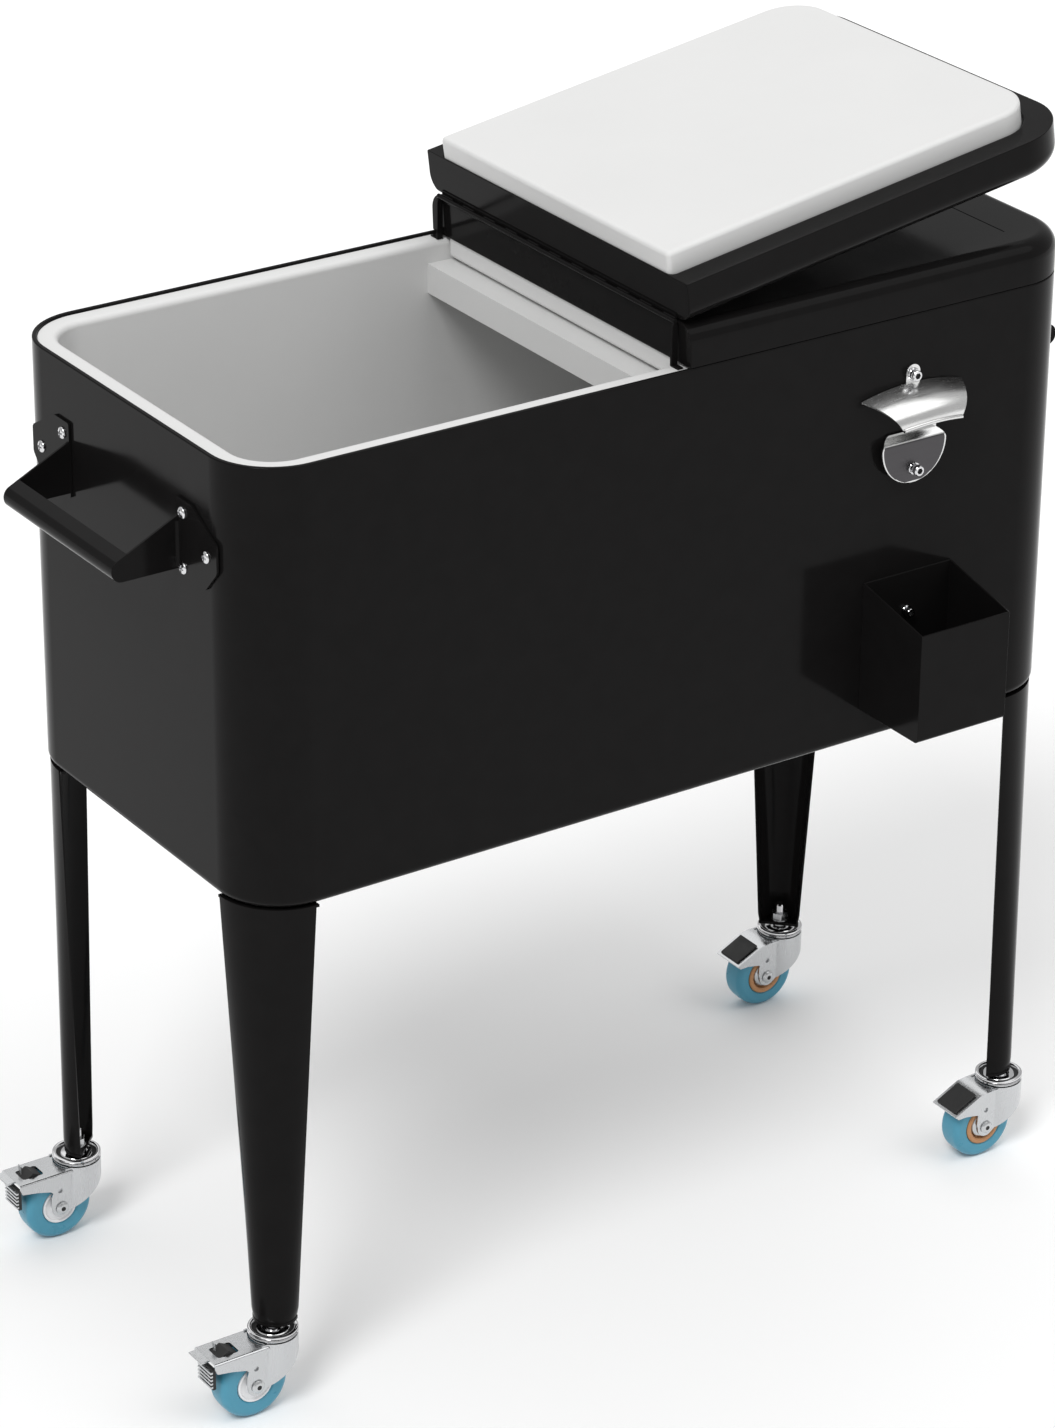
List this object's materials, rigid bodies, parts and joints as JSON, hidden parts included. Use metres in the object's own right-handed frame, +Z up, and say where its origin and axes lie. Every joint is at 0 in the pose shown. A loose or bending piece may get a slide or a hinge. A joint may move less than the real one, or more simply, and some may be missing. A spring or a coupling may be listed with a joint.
{
  "type": "rolling patio cooler",
  "caption": "Insulated steel cooler tub on tapered legs with braked swivel casters, a pair of lids that flip over on a shared middle hinge, end handles, bottle opener and cap catcher.",
  "frame": {"origin": "on the floor, under the middle of the tub", "axes": "+X runs along the tub towards the closed lid, -Y is the front with the bottle opener and cap catcher, +Z is up"},
  "size_m": [0.922, 0.4543, 0.982],
  "materials": {
    "black_paint": "glossy black powder coat",
    "white_plastic": "satin white moulding",
    "grey_foam": "rigid foam",
    "zinc": "bright zinc plate",
    "chrome": "polished",
    "stainless": "satin stainless",
    "blue_tyre": "smooth blue polyurethane",
    "tan_nylon": "satin nylon",
    "black_rubber": "matte"
  },
  "bodies": {
    "cooler": {"bottle_opener": "stainless", "cap_catcher": "black_paint", "catcher_screw": "chrome", "centre_crossbar": "white_plastic", "drain_spigot": "black_rubber", "foam_insulation": "grey_foam", "front_hinge_bracket": "black_paint", "front_left_caster_stem": "chrome", "front_left_leg": "black_paint", "front_left_leg_bolt": "zinc", "front_right_caster_stem": "chrome", "front_right_leg": "black_paint", "front_right_leg_bolt": "zinc", "hinge_pin": "zinc", "inner_liner": "white_plastic", "left_handle": "black_paint", "left_handle_front_screws": "zinc", "left_handle_rear_screws": "zinc", "opener_lower_screw": "stainless", "opener_upper_screw": "stainless", "outer_shell": "black_paint", "rear_hinge_bracket": "black_paint", "rear_left_caster_stem": "chrome", "rear_left_leg": "black_paint", "rear_left_leg_bolt": "zinc", "rear_right_caster_stem": "chrome", "rear_right_leg": "black_paint", "rear_right_leg_bolt": "zinc", "right_handle": "black_paint", "right_handle_front_screws": "zinc", "right_handle_rear_screws": "zinc"},
    "drain_cap_body": {"drain_cap": "black_rubber"},
    "front_left_caster": {"front_left_axle": "zinc", "front_left_fork": "zinc"},
    "front_left_brake": {"front_left_brake_pedal": "zinc"},
    "front_left_wheel": {"front_left_hub": "white_plastic", "front_left_tyre": "blue_tyre"},
    "front_right_caster": {"front_right_axle": "zinc", "front_right_fork": "zinc"},
    "front_right_brake": {"front_right_brake_pedal": "zinc"},
    "front_right_wheel": {"front_right_hub": "tan_nylon", "front_right_tyre": "blue_tyre"},
    "left_lid": {"left_hinge_leaf": "black_paint", "left_lid_insert": "white_plastic", "left_lid_shell": "black_paint"},
    "rear_left_caster": {"rear_left_axle": "zinc", "rear_left_fork": "zinc"},
    "rear_left_brake": {"rear_left_brake_pedal": "zinc"},
    "rear_left_wheel": {"rear_left_hub": "white_plastic", "rear_left_tyre": "blue_tyre"},
    "rear_right_caster": {"rear_right_axle": "zinc", "rear_right_fork": "zinc"},
    "rear_right_brake": {"rear_right_brake_pedal": "zinc"},
    "rear_right_wheel": {"rear_right_hub": "tan_nylon", "rear_right_tyre": "blue_tyre"},
    "right_lid": {"right_hinge_leaf": "black_paint", "right_lid_insert": "white_plastic", "right_lid_shell": "black_paint"}
  },
  "joints": [
    {"name": "left_lid_hinge", "type": "hinge", "parent": "cooler", "child": "left_lid", "pos_m": [0, 0, 0.8708], "axis": [0, 1, 0], "range_deg": [-171, 0]},
    {"name": "right_lid_hinge", "type": "hinge", "parent": "cooler", "child": "right_lid", "pos_m": [0, 0, 0.8708], "axis": [0, -1, 0], "range_deg": [0, 8]},
    {"name": "front_left_swivel", "type": "hinge", "parent": "cooler", "child": "front_left_caster", "pos_m": [-0.37732, -0.16432, 0.066], "axis": [0, 0, 1], "continuous": true},
    {"name": "front_left_wheel_spin", "type": "hinge", "parent": "front_left_caster", "child": "front_left_wheel", "pos_m": [-0.40132, -0.16432, 0.0315], "axis": [0, 1, 0], "continuous": true},
    {"name": "front_left_brake_press", "type": "hinge", "parent": "front_left_caster", "child": "front_left_brake", "pos_m": [-0.40332, -0.16432, 0.05], "axis": [0, -1, 0], "range_deg": [0, 8]},
    {"name": "front_right_swivel", "type": "hinge", "parent": "cooler", "child": "front_right_caster", "pos_m": [0.37732, -0.16432, 0.066], "axis": [0, 0, 1], "continuous": true},
    {"name": "front_right_wheel_spin", "type": "hinge", "parent": "front_right_caster", "child": "front_right_wheel", "pos_m": [0.35332, -0.16432, 0.0315], "axis": [0, 1, 0], "continuous": true},
    {"name": "front_right_brake_press", "type": "hinge", "parent": "front_right_caster", "child": "front_right_brake", "pos_m": [0.35132, -0.16432, 0.05], "axis": [0, -1, 0], "range_deg": [0, 6]},
    {"name": "rear_left_swivel", "type": "hinge", "parent": "cooler", "child": "rear_left_caster", "pos_m": [-0.37732, 0.16432, 0.066], "axis": [0, 0, 1], "continuous": true},
    {"name": "rear_left_wheel_spin", "type": "hinge", "parent": "rear_left_caster", "child": "rear_left_wheel", "pos_m": [-0.40132, 0.16432, 0.0315], "axis": [0, 1, 0], "continuous": true},
    {"name": "rear_left_brake_press", "type": "hinge", "parent": "rear_left_caster", "child": "rear_left_brake", "pos_m": [-0.40332, 0.16432, 0.05], "axis": [0, -1, 0], "range_deg": [0, 8]},
    {"name": "rear_right_swivel", "type": "hinge", "parent": "cooler", "child": "rear_right_caster", "pos_m": [0.37732, 0.16432, 0.066], "axis": [0, 0, 1], "continuous": true},
    {"name": "rear_right_wheel_spin", "type": "hinge", "parent": "rear_right_caster", "child": "rear_right_wheel", "pos_m": [0.35332, 0.16432, 0.0315], "axis": [0, 1, 0], "continuous": true},
    {"name": "rear_right_brake_press", "type": "hinge", "parent": "rear_right_caster", "child": "rear_right_brake", "pos_m": [0.35132, 0.16432, 0.05], "axis": [0, -1, 0], "range_deg": [0, 6]},
    {"name": "drain_cap_turn", "type": "hinge", "parent": "cooler", "child": "drain_cap_body", "pos_m": [-0.25, 0.095, 0.45], "axis": [0, 0, 1], "continuous": true}
  ]
}
